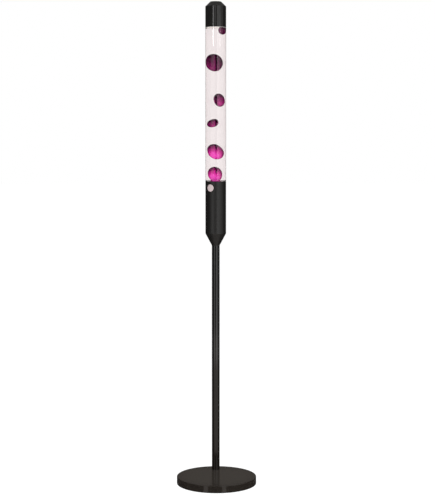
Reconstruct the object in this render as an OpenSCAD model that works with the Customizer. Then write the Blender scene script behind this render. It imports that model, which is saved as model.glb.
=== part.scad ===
// Liquid motion floor lamp: a tall bottle of clear liquid and wax over a lit housing,
// on a slim pole that stands behind the middle of a heavy round foot.
// Millimetres. The origin is on the floor under the middle of the foot, +Z is up and -Y is the front.

/* [Foot] */
// Diameter of the foot
base_d = 252; // [230:1:320]
// Height of the foot's top above the floor
base_h = 24; // [22:0.5:34]
// Sheet thickness of the foot's cover
cover_wall = 1.2; // [0.8:0.1:1.6]
// Outer radius of the cover's pressed edge
cover_edge_r = 2.4; // [1.8:0.1:4]
// Gap between the floor and the cover's lower edge
skirt_gap = 1; // [0.5:0.1:2]
// Thickness of the foam pad that the foot stands on
pad_h = 3; // [2.5:0.1:3.4]
// Gap between the cover's skirt and the weight, and the pad
weight_gap = 1; // [0.5:0.1:3]
// Bevel of the weight's upper edge
weight_bevel = 3; // [2:0.1:5]

/* [Pole] */
// Distance from the pole's axis to the foot's edge behind it
pole_edge = 43; // [42:1:100]
// Outer diameter of the pole
pole_d = 25; // [24:0.5:30]
// Wall of the pole
pole_wall = 1.2; // [1:0.1:1.6]
// Length of the pole between foot and housing
pole_h = 728; // [400:1:1000]
// Diameter of the flange under the foot's cover
flange_d = 58; // [56:1:66]
// Thickness of the flange
flange_h = 3; // [2:0.1:4]
// Length of the threaded neck inside the pole, above the foot
neck_in_pole = 24; // [12:1:50]
// Wall of that neck
socket_wall = 3; // [1.5:0.1:4]
// Radius of the circle that the three flange screws are on
screw_circle_r = 21; // [20:0.5:22]
// Thread diameter of the flange screws
screw_d = 5; // [4:0.1:6]
// Length of a flange screw under its head
screw_len = 11; // [9:0.5:12]
// Diameter of a flange screw's head
screw_head_d = 9; // [7:0.1:10]
// Height of a flange screw's head
screw_head_h = 3; // [2:0.1:4]
// Length of the insert in the pole's top
insert_h = 26; // [15:1:60]

/* [Mains lead] */
// Diameter of the mains lead
lead_d = 5.4; // [5:0.1:6]
// Height of the lead's axis above the floor where it crosses the foot
lead_z = 6.6; // [6.2:0.1:7]
// Bend radius of the lead's axis under the pole
lead_bend_r = 20; // [19:0.5:21]
// Clearance of the weight's cable ramp round the lead
lead_gap = 1.2; // [0.8:0.1:1.4]
// Diameter of the bush where it passes through the cover
bush_d = 8.6; // [8:0.1:9]
// Diameter of the bush's two collars
bush_collar_d = 11; // [10.4:0.1:11.4]
// Thickness of each collar
bush_collar_h = 1.4; // [1:0.1:2]
// Clearance of the bush's bore round the lead
bush_bore_gap = 0.3; // [0.1:0.1:0.6]
// Diameter of one core of the lead
core_d = 1.9; // [1.5:0.1:2.2]

/* [Housing] */
// Outer diameter shared by housing, glass and cap
body_d = 66; // [64:0.5:74]
// Sheet thickness of the housing
housing_wall = 1.2; // [0.8:0.1:1.4]
// Height of the housing's cone
cone_h = 38.5; // [34:0.5:60]
// Height of the housing's straight part
housing_h = 167.5; // [160:0.5:220]
// Outer radius of the housing's round between cone and straight part
cone_round_r = 8; // [3:0.5:16]
// Wall of the seat ring
ring_wall = 1.9; // [1.2:0.1:2.4]
// Thickness of the seat ring's ledge
ledge_h = 1.5; // [1:0.1:3]
// Width of the seat ring's ledge
ledge_w = 7.5; // [4:0.5:9]
// Depth of the seat ring's upper edge below the housing's rim
ring_drop = 1.5; // [0.5:0.1:4]
// Thickness of the silicone gasket on the ledge
gasket_h = 1.5; // [1:0.1:3]
// Running gap of the bottle inside ring and liner
bottle_gap = 0.4; // [0.3:0.05:0.8]

/* [Lampholder and bulb] */
// Thread diameter of the hollow stud under the lampholder
stud_d = 10; // [9.6:0.1:11]
// Bore of the hollow stud
stud_bore = 7; // [6.6:0.1:7.4]
// Length of the stud inside the insert
stud_in_insert = 20; // [8:1:60]
// Diameter of the washer in the cone
washer_d = 19; // [17.5:0.5:20]
// Thickness of the washer
washer_h = 1.2; // [0.8:0.1:1.6]
// Width across flats of the stud's nut
nut_flats = 14; // [13.5:0.1:15]
// Height of the nut
nut_h = 5; // [3:0.1:6]
// Outer diameter of the lampholder
holder_d = 27; // [26:0.5:32]
// Wall of the lampholder
holder_wall = 1.8; // [1.5:0.1:2.4]
// Height of the threaded boss under the lampholder
boss_h = 8; // [6:0.5:12]
// Height of the lampholder's wiring space
wiring_h = 16; // [14:0.5:20]
// Thickness of the floor that carries the contacts
holder_floor_h = 3; // [2:0.1:4]
// Depth of the lampholder's cup over that floor
holder_cup_h = 24; // [20:0.5:26]
// Edge length of the two terminal blocks
terminal_size = 5.6; // [5:0.1:6.4]
// Outer diameter of the bulb's screw cap
bulb_cap_d = 13.8; // [13.4:0.1:14.2]
// Length of the screw cap with its contact tip
bulb_cap_h = 25; // [24:0.5:28]
// Diameter of the reflector bulb
bulb_d = 50; // [39:1:50]
// Length of the bulb with its cap
bulb_len = 85; // [76:1:90]
// Wall of the bulb's glass
bulb_wall = 0.8; // [0.6:0.1:1]
// Space between the bulb and the seat ring's ledge
bulb_gap = 10; // [6:1:20]

/* [Bottle] */
// Length of the glass between its two shoulders
tube_h = 484; // [440:1:620]
// Wall of the glass
glass_wall = 3; // [2.4:0.1:3.6]
// Gap between each shoulder and the rim next to it
seat_gap = 0.5; // [0.3:0.1:1]
// Length of the narrower foot inside the housing
foot_h = 26; // [24:1:36]
// Thickness of the glass floor
floor_h = 4; // [3:0.1:6]
// Height of the hollow pressed up into the glass floor
punt_h = 1.5; // [0.5:0.1:2]
// Outer radius of the foot's lower edge
heel_r = 4; // [3.8:0.1:6]
// Radius of the shoulders' edges
shoulder_r = 1.2; // [0.6:0.1:2]
// Length of the narrower top inside the cap's liner
collar_h = 12; // [11:0.5:20]
// Radius of the round above that
dome_r = 12; // [10:0.5:14]
// Outer diameter of the neck
neck_d = 24.4; // [22:0.1:26]
// Top of the bottle's lip above the upper shoulder
lip_z = 50.5; // [46:0.5:54]
// Outer diameter of the lip
lip_d = 26.6; // [26:0.1:27.4]
// Height of the lip
lip_h = 4; // [3:0.1:6]
// Thickness of the seal under the crown
seal_h = 1; // [0.6:0.1:2]
// Sheet thickness of the crown
crown_wall = 0.5; // [0.3:0.1:0.8]
// Height of the crown's fluted skirt
crown_skirt_h = 5; // [4:0.1:6]
// Number of flutes round the crown
crown_flutes = 21; // [12:1:30]

/* [Liquid and wax] */
// Gap between the liquid and what it touches
fill_gap = 0.25; // [0.2:0.05:0.4]
// Gap between the liquid and each piece of wax
wax_gap = 0.4; // [0.3:0.05:0.6]
// Depth of the liquid's surface below the collar's top
fill_drop = 2; // [1:0.5:3]
// Height of the wax pool over the glass floor
pool_h = 12; // [11.5:0.5:12.5]
// Wire diameter of the coil
wire_d = 1.2; // [0.8:0.1:1.4]
// Outer diameter of the coil's curls
curl_d = 9.6; // [8:0.1:10]
// Number of curls in the coil
curls = 28; // [20:1:32]
// Gap between the coil and the wax and glass round it
coil_gap = 0.5; // [0.4:0.05:0.6]

/* [Cap] */
// Height of the cap
cap_h = 81; // [76:1:100]
// Height of the cap's chamfer
chamfer_h = 15; // [12:0.5:20]
// Diameter of the cap's flat top
cap_top_d = 35; // [28:0.5:44]
// Sheet thickness of the cap
cap_wall = 1.2; // [0.8:0.1:1.4]
// Wall of the cap's liner
liner_wall = 1.9; // [1.2:0.1:2.4]
// Height of the cap's liner
liner_h = 10; // [6:0.5:11]

/* [Hidden] */
$fn = 96;

// clearances that no looks depend on
slip = 0.1;
thread_gap = 0.05;
screw_clear = 0.5;
head_clear = 1;
tip_gap = 0.1;
cut = 1;

// heights, from the floor up
z_base = base_h;
z_cone = z_base + pole_h;
z_straight = z_cone + cone_h;
z_rim = z_straight + housing_h;
z_shoulder = z_rim + seat_gap;
z_collar = z_shoulder + tube_h;
z_cap = z_collar + seat_gap;
z_top = z_cap + cap_h;

// radii
base_r = base_d / 2;
pole_r = pole_d / 2;
body_r = body_d / 2;
bore_r = body_r - glass_wall;
lead_r = lead_d / 2;
pole_set = base_r - pole_edge;
under_cover_r = base_r - cover_wall;
neck_in_pole_r = pole_r - pole_wall - slip;
foot_r = body_r - housing_wall - thread_gap - ring_wall - bottle_gap;
collar_r = body_r - cap_wall - thread_gap - liner_wall - bottle_gap;
foot_bore_r = foot_r - glass_wall;
collar_bore_r = collar_r - glass_wall;

// the foot's inner levels
z_under_cover = base_h - cover_wall;
z_flange = z_under_cover - flange_h;
z_screw_head = z_under_cover - screw_clear - screw_len - screw_head_h;
screw_turns = [30, 150, 270];

// the lead turns up under the pole about this centre, in the plane x = 0
lead_turn_y = lead_bend_r;
lead_turn_z = lead_z + lead_bend_r;

// the bottle's inner levels
z_foot = z_shoulder - foot_h;
z_floor = z_foot + floor_h;
z_ledge = z_foot - gasket_h - ledge_h;
z_fill = z_collar + collar_h - fill_drop;
z_lip = z_collar + lip_z;
shoulder_run = 2.5;

// the bulb and the lampholder hang from the seat ring's ledge
z_tip = z_ledge - bulb_gap - bulb_len;
contact_h = 3;
z_contact_floor = z_tip - contact_h;
z_wiring_top = z_contact_floor - holder_floor_h;
z_wiring = z_wiring_top - wiring_h;
z_boss = z_wiring - boss_h;
holder_r = holder_d / 2;
holder_joint = 2.5;

// wax: [share of the tube's height, shift right, shift back, width, height, lean, taper]
// shifts, widths and heights are in bores of the glass, and a taper above 0 has its broad end up
WAX = [
    [0.982, 0.262, 0.02, 0.33, 0.44, 0, 0.05],
    [0.772, -0.072, -0.03, 0.695, 0.925, -8, 0.03],
    [0.529, 0.136, 0.05, 0.42, 0.70, -7, 0.04],
    [0.377, -0.113, -0.02, 0.50, 0.395, -37, 0.06],
    [0.192, -0.015, 0.03, 0.60, 0.836, -21, -0.04],
    [0.042, -0.023, -0.02, 0.565, 0.82, -6, 0.10]
];

// points on an arc, from angle a to angle b
function arc(x, y, r, a, b, steps = 12) =
    [for (i = [0:steps]) [x + r * cos(a + (b - a) * i / steps), y + r * sin(a + (b - a) * i / steps)]];

// half outline of an egg, pole to pole
function egg(w, h, taper, steps = 16) =
    [for (i = [0:steps]) [w / 2 * sin(180 * i / steps) * (1 + taper * cos(180 * i / steps)),
                          h / 2 * cos(180 * i / steps)]];

// moves what stands on the pole's axis to its place
module on_pole() {
    translate([0, pole_set, 0]) children();
}

// a plain ring or tube on the pole's axis
module ring(r_out, r_in, low, high) {
    on_pole() translate([0, 0, low]) difference() {
        cylinder(r = r_out, h = high - low);
        translate([0, 0, -cut]) cylinder(r = r_in, h = high - low + 2 * cut);
    }
}

// FOOT

// shallow pressed dish, turned over, with a hole for the socket's neck and a notch for the bush
module base_cover() {
    color("#2e2b28") difference() {
        rotate_extrude($fn = 180) difference() {
            polygon(concat([[0, skirt_gap], [base_r, skirt_gap]],
                arc(base_r - cover_edge_r, base_h - cover_edge_r, cover_edge_r, 0, 90, 6),
                [[0, base_h]]));
            polygon(concat([[0, skirt_gap - cut], [under_cover_r, skirt_gap - cut]],
                arc(base_r - cover_edge_r, base_h - cover_edge_r, cover_edge_r - cover_wall, 0, 90, 6),
                [[0, z_under_cover]]));
        }
        on_pole() translate([0, 0, z_under_cover - cut]) cylinder(r = neck_in_pole_r + slip, h = base_h);
        translate([0, base_r - 2 * bush_collar_d, lead_z]) rotate([-90, 0, 0])
            cylinder(d = bush_d + slip, h = 4 * bush_collar_d);
        translate([-(bush_d + slip) / 2, base_r - 2 * bush_collar_d, skirt_gap - cut])
            cube([bush_d + slip, 4 * bush_collar_d, lead_z - skirt_gap + cut]);
    }
}

// room that the lead needs in the weight: a groove to the back and a ramp up to the pole
module lead_ramp() {
    half = lead_r + lead_gap;
    on_pole() {
        translate([half, 0, 0]) rotate([90, 0, -90]) linear_extrude(2 * half) difference() {
            translate([-lead_turn_y, 0]) square([lead_turn_y, z_flange + cut]);
            translate([-lead_turn_y, lead_turn_z]) circle(r = lead_bend_r - half);
        }
        translate([-half, lead_turn_y - slip, 0]) cube([2 * half, base_r, lead_z + half]);
    }
}

// room that the bush's inner collar needs at the back of weight and pad
module bush_room() {
    wide = bush_collar_d + 2 * screw_clear;
    deep = 2 * bush_collar_h + slip + screw_clear;
    translate([0, under_cover_r - deep, lead_z]) rotate([-90, 0, 0]) cylinder(d = wide, h = base_r);
    translate([-wide / 2, under_cover_r - deep, -cut]) cube([wide, base_r, lead_z + cut]);
}

// cast disc that fills the cover, with the flange's pocket, the cable ramp and the screw holes
module base_weight() {
    r = under_cover_r - weight_gap;
    color("#5a5a58") difference() {
        rotate_extrude($fn = 180)
            polygon([[0, pad_h], [r, pad_h], [r, z_under_cover - weight_bevel],
                [r - weight_bevel, z_under_cover], [0, z_under_cover]]);
        on_pole() {
            translate([0, 0, z_flange]) cylinder(d = flange_d + 2 * screw_clear, h = base_h);
            cylinder(r = neck_in_pole_r - socket_wall, h = base_h);
            for (turn = screw_turns) rotate(turn) translate([screw_circle_r, 0, 0]) {
                cylinder(r = screw_d / 2 + screw_clear, h = base_h);
                cylinder(r = screw_head_d / 2 + head_clear, h = z_screw_head + screw_head_h);
            }
        }
        lead_ramp();
        bush_room();
    }
}

// soft pad, the face that the lamp stands on
module base_pad() {
    color("#1c1c1c") difference() {
        cylinder(r = under_cover_r - weight_gap, h = pad_h, $fn = 180);
        bush_room();
    }
}

// turned flange under the cover with the neck that the pole screws on
module foot_socket() {
    color("#8d8f90") difference() {
        ring(flange_d / 2, neck_in_pole_r - socket_wall, z_flange, z_under_cover);
        on_pole() for (turn = screw_turns) rotate(turn) translate([screw_circle_r, 0, z_flange - cut])
            cylinder(r = screw_d / 2 + thread_gap, h = flange_h + 2 * cut);
    }
    color("#8d8f90") on_pole() rotate_extrude()
        polygon([[neck_in_pole_r - socket_wall, z_under_cover], [neck_in_pole_r, z_under_cover],
            [neck_in_pole_r, z_base + neck_in_pole - 1], [neck_in_pole_r - 1, z_base + neck_in_pole],
            [neck_in_pole_r - socket_wall, z_base + neck_in_pole]]);
}

// three hexagon-socket screws that come up through the weight into the flange
module foot_screws() {
    color("#b0b2b4") on_pole() for (turn = screw_turns)
        rotate(turn) translate([screw_circle_r, 0, z_screw_head]) difference() {
            union() {
                cylinder(d = screw_head_d, h = screw_head_h);
                cylinder(d = screw_d, h = screw_head_h + screw_len);
            }
            translate([0, 0, -cut]) cylinder(d = screw_d * 0.8, h = cut + screw_head_h / 2, $fn = 6);
        }
}

// bush with a groove that the notch's edge sits in
module cord_bush() {
    color("#151515") translate([0, 0, lead_z]) rotate([-90, 0, 0]) difference() {
        union() {
            translate([0, 0, under_cover_r - 2 * bush_collar_h]) cylinder(d = bush_d, h = 3 * bush_collar_h);
            translate([0, 0, under_cover_r - slip - 2 * bush_collar_h])
                cylinder(d = bush_collar_d, h = bush_collar_h);
            translate([0, 0, base_r + slip]) cylinder(d = bush_collar_d, h = bush_collar_h);
        }
        translate([0, 0, under_cover_r - 4 * bush_collar_h])
            cylinder(r = lead_r + bush_bore_gap, h = 8 * bush_collar_h);
    }
}

// POLE

module pole() {
    color("#2a2827") ring(pole_r, pole_r - pole_wall, z_base, z_cone);
}

// turned plug, level with the pole's end, with the stud's thread in its middle
module pole_top_insert() {
    color("#8d8f90") ring(neck_in_pole_r, stud_d / 2 + thread_gap, z_cone - insert_h, z_cone);
}

// hollow threaded tube that carries the lampholder
module head_stud() {
    color("#c9b36a") ring(stud_d / 2, stud_bore / 2, z_cone - stud_in_insert, z_wiring - boss_h / 5);
}

module head_washer() {
    color("#b0b2b4") ring(washer_d / 2, stud_d / 2 + slip, z_cone + housing_wall, z_cone + housing_wall + washer_h);
}

module head_nut() {
    low = z_cone + housing_wall + washer_h;
    color("#b0b2b4") on_pole() translate([0, 0, low]) difference() {
        cylinder(d = nut_flats / cos(30), h = nut_h, $fn = 6);
        translate([0, 0, -cut]) cylinder(r = stud_d / 2 + thread_gap, h = nut_h + 2 * cut);
    }
}

// LAMPHOLDER AND BULB

// lower moulding: threaded boss and wiring space
module holder_base() {
    top = z_wiring_top - holder_joint;
    color("#ece8df") on_pole() rotate_extrude()
        polygon([[stud_d / 2 + thread_gap, z_boss], [stud_d / 2 + holder_wall + 1, z_boss],
            [stud_d / 2 + holder_wall + 1, z_wiring - 3], [holder_r, z_wiring + 1], [holder_r, top],
            [holder_r - holder_wall, top], [holder_r - holder_wall, z_wiring + holder_wall],
            [stud_d / 2 + thread_gap, z_wiring + holder_wall]]);
}

// upper moulding: the floor that carries the contacts and the cup round the screw shell
module holder_body() {
    cup_r = bulb_cap_d / 2 + 0.9;
    color("#ece8df") on_pole() difference() {
        rotate_extrude()
            polygon([[0, z_wiring_top], [holder_r - holder_wall, z_wiring_top],
                [holder_r - holder_wall, z_wiring_top - holder_joint], [holder_r, z_wiring_top - holder_joint],
                [holder_r, z_contact_floor + holder_cup_h - 1], [holder_r - 1, z_contact_floor + holder_cup_h],
                [cup_r, z_contact_floor + holder_cup_h], [cup_r, z_contact_floor], [0, z_contact_floor]]);
        for (side = [-1, 1]) translate([side * holder_r / 2, 0, z_wiring_top - cut])
            cylinder(r = 1, h = holder_floor_h + 2 * cut, $fn = 24);
    }
}

// sleeve that takes the bulb's thread
module screw_shell() {
    color("#c9a24a") ring(bulb_cap_d / 2 + 0.8, bulb_cap_d / 2 + 0.3, z_contact_floor + 5, z_contact_floor + holder_cup_h - 1);
}

// bent spring leaf under the bulb's tip
module centre_contact() {
    w = 5;
    t = 0.4;
    foot = bulb_cap_d / 2;
    high = contact_h - tip_gap;
    color("#c9a24a") on_pole() translate([0, w / 2, z_contact_floor]) rotate([90, 0, 0]) linear_extrude(w)
        polygon([[-foot, 0], [-1, 0], [2, high - t], [4, high - t - 0.4], [4, high - 0.4],
            [1.8, high], [-1.4, t], [-foot, t]]);
}

// two brass blocks under the floor, each with a hole for a core and one for its screw
module terminals() {
    size = terminal_size;
    color("#c9a24a") on_pole() for (side = [-1, 1])
        translate([side * holder_r / 2, 0, z_wiring_top - size]) difference() {
            translate([-size / 2, -size / 2, 0]) cube(size);
            translate([0, 0, -cut]) cylinder(r = core_d / 2 + slip, h = cut + size * 0.7, $fn = 24);
            translate([0, 0, size / 2]) rotate([90, 0, 0]) cylinder(r = 1.1, h = size, $fn = 24);
        }
}

module terminal_screws() {
    color("#b0b2b4") on_pole() for (side = [-1, 1])
        translate([side * holder_r / 2, 0, z_wiring_top - terminal_size / 2]) rotate([90, 0, 0]) {
            translate([0, 0, core_d / 2 + 2 * slip]) cylinder(r = 1.1 - thread_gap, h = 3, $fn = 24);
            translate([0, 0, terminal_size / 2 + slip]) cylinder(r = 1.9, h = 1.2, $fn = 24);
        }
}

// thin metal screw cap with its glass insulator and tip
module bulb_cap() {
    r = bulb_cap_d / 2;
    color("#b9b4a4") on_pole() translate([0, 0, z_tip]) rotate_extrude()
        polygon([[0, 0], [r * 0.34, 0], [r * 0.42, 1.2], [r * 0.9, 3.6], [r, 4.6], [r, bulb_cap_h - 2.4],
            [r + 0.5, bulb_cap_h - 0.6], [r + 0.5, bulb_cap_h], [r - 0.4, bulb_cap_h], [r - 0.4, 5.4],
            [r * 0.8, 4.4], [0, 4.4]]);
}

// outline of the reflector bulb from its neck to the middle of its face, drawn in by t
function bulb_outline(t) = let(
    neck = bulb_cap_d / 2 - 0.5,
    wide = bulb_d / 2,
    face = bulb_len * 0.83)
    concat([[neck - t, bulb_cap_h / 2], [neck - t, bulb_cap_h]],
        [for (i = [1:12]) [neck - t + (wide - neck) * pow(i / 12, 0.8),
                           bulb_cap_h + (face - bulb_cap_h) * pow(i / 12, 1.25)]],
        [for (i = [1:10]) [(wide - t) * cos(9 * i), face + (bulb_len - face - t) * sin(9 * i)]]);

module bulb_glass() {
    outer = bulb_outline(0);
    inner = bulb_outline(bulb_wall);
    color("#dfe3e6") on_pole() translate([0, 0, z_tip]) rotate_extrude()
        polygon(concat(outer, [for (i = [len(inner) - 1:-1:0]) inner[i]]));
}

// pressed glass stem, two support wires and the filament between them
module bulb_filament() {
    flare = bulb_cap_d / 2 - 0.5 - bulb_wall - slip;
    stem_top = bulb_cap_h + 8;
    near = 1;
    reach = 6;
    wire_h = 24;
    lean = atan((reach - near) / wire_h);
    color("#d8d8d0") on_pole() translate([0, 0, z_tip]) {
        rotate_extrude() polygon([[0, bulb_cap_h / 2], [flare, bulb_cap_h / 2], [flare, bulb_cap_h / 2 + 1],
            [2.2, bulb_cap_h - 4], [1.8, stem_top], [0, stem_top]]);
        for (side = [-1, 1]) translate([side * near, 0, stem_top - 1]) rotate([0, side * lean, 0])
            cylinder(r = 0.45, h = wire_h / cos(lean), $fn = 24);
        translate([0, 0, stem_top + wire_h - 1.6]) rotate([90, 0, 0])
            rotate_extrude(angle = 180, $fn = 48) translate([reach, 0]) circle(r = 0.3, $fn = 24);
    }
}

// LEAD

// mains lead from the bush, along the weight's groove, round the ramp and up the pole to the lampholder
module inner_lead() {
    low = lead_turn_z;
    high = z_wiring - 1;
    back = under_cover_r - 2 * bush_collar_h - 3 * slip - pole_set;
    color("#f0f0ec") on_pole() {
        translate([0, 0, low]) cylinder(r = lead_r, h = high - low, $fn = 32);
        translate([0, lead_turn_y, lead_z]) rotate([-90, 0, 0]) cylinder(r = lead_r, h = back - lead_turn_y, $fn = 32);
        translate([0, lead_turn_y, lead_turn_z]) rotate([0, 90, 0]) rotate([0, 0, -90])
            rotate_extrude(angle = 90, $fn = 96) translate([lead_bend_r, 0]) circle(r = lead_r, $fn = 32);
    }
}

// a round tube swept along points that lie in the plane y = 0
module wire_along(points, r, sides = 8) {
    last = len(points) - 1;
    function way(i) = let(d = points[min(i + 1, last)] - points[max(i - 1, 0)]) d / norm(d);
    rings = [for (i = [0:last]) for (k = [0:sides - 1])
        points[i] + r * cos(360 * k / sides) * [0, 1, 0]
        + r * sin(360 * k / sides) * cross(way(i), [0, 1, 0])];
    walls = [for (i = [0:last - 1]) for (k = [0:sides - 1]) let(n = (k + 1) % sides)
        for (t = [[i * sides + k, (i + 1) * sides + k, (i + 1) * sides + n],
                  [i * sides + k, (i + 1) * sides + n, i * sides + n]]) t];
    start = [for (k = [0:sides - 1]) k];
    end = [for (k = [sides - 1:-1:0]) last * sides + k];
    polyhedron(rings, concat(walls, [start, end]));
}

// the two cores, spread from the lead's end to below the terminals and then straight up into them
module lead_cores() {
    low = z_wiring - 1 + slip;
    high = z_wiring_top - terminal_size - screw_clear;
    near = core_d / 2 + slip;
    far = holder_r / 2;
    color("#7a5a3a") on_pole() for (side = [-1, 1])
        wire_along(concat(
            [for (i = [0:8]) let(t = i / 8)
                [side * (near + (far - near) * (1 - cos(180 * t)) / 2), 0, low + (high - low) * t]],
            [[side * far, 0, high + 0.4], [side * far, 0, high + terminal_size / 2]]), core_d / 2 - thread_gap);
}

// HOUSING

// spun shell: flat bottom, cone and straight part, one sheet all the way
module housing() {
    slope = atan((body_r - pole_r) / cone_h);
    side = housing_wall / cos(slope);
    inner_foot = pole_r - side + housing_wall * tan(slope);
    x = body_r - cone_round_r;
    y = z_straight + cone_round_r * tan(slope / 2);
    color("#2a2827") on_pole() rotate_extrude($fn = 128)
        polygon(concat([[stud_d / 2 + slip, z_cone], [pole_r, z_cone]],
            arc(x, y, cone_round_r, -slope, 0, 5),
            [[body_r, z_rim - 0.3], [body_r - 0.3, z_rim], [body_r - housing_wall, z_rim]],
            arc(x, y, cone_round_r - housing_wall, 0, -slope, 5),
            [[inner_foot, z_cone + housing_wall], [stud_d / 2 + slip, z_cone + housing_wall]]));
}

// ring pressed into the housing, with the inward ledge that carries the bottle
module seat_ring() {
    r = body_r - housing_wall - thread_gap;
    color("#a9abad") on_pole() rotate_extrude()
        polygon([[r - ring_wall, z_rim - ring_drop], [r - ring_wall, z_ledge + ledge_h],
            [r - ring_wall - ledge_w, z_ledge + ledge_h], [r - ring_wall - ledge_w, z_ledge],
            [r, z_ledge], [r, z_rim - ring_drop]]);
}

module seat_gasket() {
    color("#c8453c") ring(foot_r - slip, foot_r + bottle_gap - ledge_w + 1, z_ledge + ledge_h, z_foot);
}

// BOTTLE

// the upper end of the glass, drawn in by t: the round over the collar, its slope, then the neck
dome_turn = 60;
function dome(t) = let(
    x = collar_r - dome_r,
    y = z_collar + collar_h,
    foot = arc(x, y, dome_r - t, 0, dome_turn, 8),
    end = foot[8],
    neck = neck_d / 2 - t)
    concat(foot, [[neck, end[1] + (end[0] - neck) / tan(dome_turn)]]);

// inside of the glass drawn in by g, from the floor's edge up to the collar's top
function inside(g) = [
    [foot_bore_r - g, z_shoulder - shoulder_run], [bore_r - g, z_shoulder + shoulder_run],
    [bore_r - g, z_collar - shoulder_run], [collar_bore_r - g, z_collar + shoulder_run]];

module bottle() {
    floor_r = foot_bore_r - 1;
    lip_r = lip_d / 2;
    neck_bore = neck_d / 2 - glass_wall;
    outer = concat(
        [[0, z_foot + punt_h], [foot_r - heel_r - 4, z_foot]],
        arc(foot_r - heel_r, z_foot + heel_r, heel_r, -90, 0, 6),
        [[foot_r, z_shoulder - 1], [foot_r + 1, z_shoulder]],
        arc(body_r - shoulder_r, z_shoulder + shoulder_r, shoulder_r, -90, 0, 6),
        arc(body_r - shoulder_r, z_collar - shoulder_r, shoulder_r, 0, 90, 6),
        [[collar_r, z_collar]],
        dome(0),
        [[neck_d / 2, z_lip - lip_h - 1], [lip_r, z_lip - lip_h], [lip_r, z_lip - 1], [lip_r - 1, z_lip]]);
    inner = concat(
        [[0, z_floor], [floor_r, z_floor], [foot_bore_r, z_floor + 1]],
        inside(0),
        dome(glass_wall),
        [[neck_bore, z_lip]]);
    color("#dfeaec", 0.35) on_pole() rotate_extrude($fn = 128)
        polygon(concat(outer, [for (i = [len(inner) - 1:-1:0]) inner[i]]));
}

// one piece of wax, a little larger all round if grown
module wax(i, grow = 0) {
    w = WAX[i];
    bore = 2 * bore_r;
    color("#7a1f63") on_pole()
        translate([w[1] * bore, w[2] * bore, z_shoulder + w[0] * tube_h]) rotate([0, w[5], 0])
            rotate_extrude($fn = 64) polygon(egg(w[3] * bore + 2 * grow, w[4] * bore + 2 * grow, w[6]));
}

module wax_blob_1() { wax(0); }
module wax_blob_2() { wax(1); }
module wax_blob_3() { wax(2); }
module wax_blob_4() { wax(3); }
module wax_blob_5() { wax(4); }
module wax_blob_6() { wax(5); }

// the liquid fills the bore over the wax pool and goes round every piece of wax
module liquid() {
    low = z_floor + pool_h + fill_gap;
    color("#f3dfe0", 0.3) difference() {
        on_pole() rotate_extrude($fn = 128)
            polygon(concat([[0, low], [foot_bore_r - fill_gap, low]], inside(fill_gap),
                [[collar_bore_r - fill_gap, z_fill], [0, z_fill]]));
        for (i = [0:len(WAX) - 1]) wax(i, wax_gap);
    }
}

// ring of curls that lies in the wax pool
coil_r = foot_bore_r - coil_gap - 1 - curl_d / 2;
z_coil = z_floor + coil_gap + curl_d / 2;

// wax on the glass floor, open below where the coil lies in it
module wax_pool() {
    r = foot_bore_r - fill_gap;
    color("#a01f78") on_pole() rotate_extrude() difference() {
        polygon([[0, z_floor + fill_gap], [r - 2, z_floor + fill_gap], [r, z_floor + 2 + fill_gap],
            [r, z_floor + pool_h], [0, z_floor + pool_h]]);
        translate([coil_r, z_coil]) circle(r = curl_d / 2 + coil_gap, $fn = 48);
    }
}

// the coil's wire: its axis winds round a circle and closes on itself after the last curl
curl_rings = 8;
wire_sides = 6;
curl_r = (curl_d - wire_d) / 2;
function coil_out(i) = let(u = 360 * i / (curls * curl_rings), v = 360 * i / curl_rings)
    [cos(v) * cos(u), cos(v) * sin(u), sin(v)];
function coil_point(i) = let(u = 360 * i / (curls * curl_rings))
    [coil_r * cos(u), coil_r * sin(u), 0] + curl_r * coil_out(i);
function coil_way(i) = let(d = coil_point(i + 0.05) - coil_point(i - 0.05)) d / norm(d);
function coil_ring(i) = let(out = coil_out(i), side = cross(coil_way(i), out))
    [for (k = [0:wire_sides - 1])
        coil_point(i) + wire_d / 2 * (cos(360 * k / wire_sides) * out + sin(360 * k / wire_sides) * side)];
coil_gaps = [for (i = [0:curl_rings - 1]) for (j = [i + curl_rings / 2:curls * curl_rings - curl_rings / 2])
    norm(coil_point(i) - coil_point(j)) - wire_d];
echo(str("least gap of the coil to itself: ", min(coil_gaps), " mm"));

module coil() {
    total = curls * curl_rings;
    points = [for (i = [0:total - 1]) for (p = coil_ring(i)) p];
    faces = [for (i = [0:total - 1]) for (k = [0:wire_sides - 1])
        let(j = (i + 1) % total, n = (k + 1) % wire_sides)
        for (t = [[i * wire_sides + k, j * wire_sides + n, j * wire_sides + k],
                  [i * wire_sides + k, i * wire_sides + n, j * wire_sides + n]]) t];
    color("#c4c6c8") on_pole() translate([0, 0, z_coil]) polyhedron(points, faces);
}

module crown_seal() {
    color("#d8d2c4") on_pole() translate([0, 0, z_lip]) cylinder(d = lip_d - 1.2, h = seal_h);
}

// pressed crown: a domed top and a fluted skirt round the lip
module crown_cap() {
    inner = lip_d / 2 + slip;
    high = z_lip + seal_h;
    wave = 0.6;
    mean = inner + crown_wall + wave;
    turns = crown_flutes * 4;
    color("#b9a25a") on_pole() {
        rotate_extrude() polygon([[0, high], [inner, high], [inner + crown_wall, high - 1.6],
            [inner + crown_wall + 0.4, high - 1.6], [inner, high + crown_wall], [0, high + crown_wall]]);
        translate([0, 0, high - 1.2 - crown_skirt_h]) linear_extrude(crown_skirt_h) difference() {
            polygon([for (i = [0:turns - 1]) let(a = 360 * i / turns)
                (mean + wave * cos(crown_flutes * a)) * [cos(a), sin(a)]]);
            circle(r = inner);
        }
    }
}

// CAP

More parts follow.
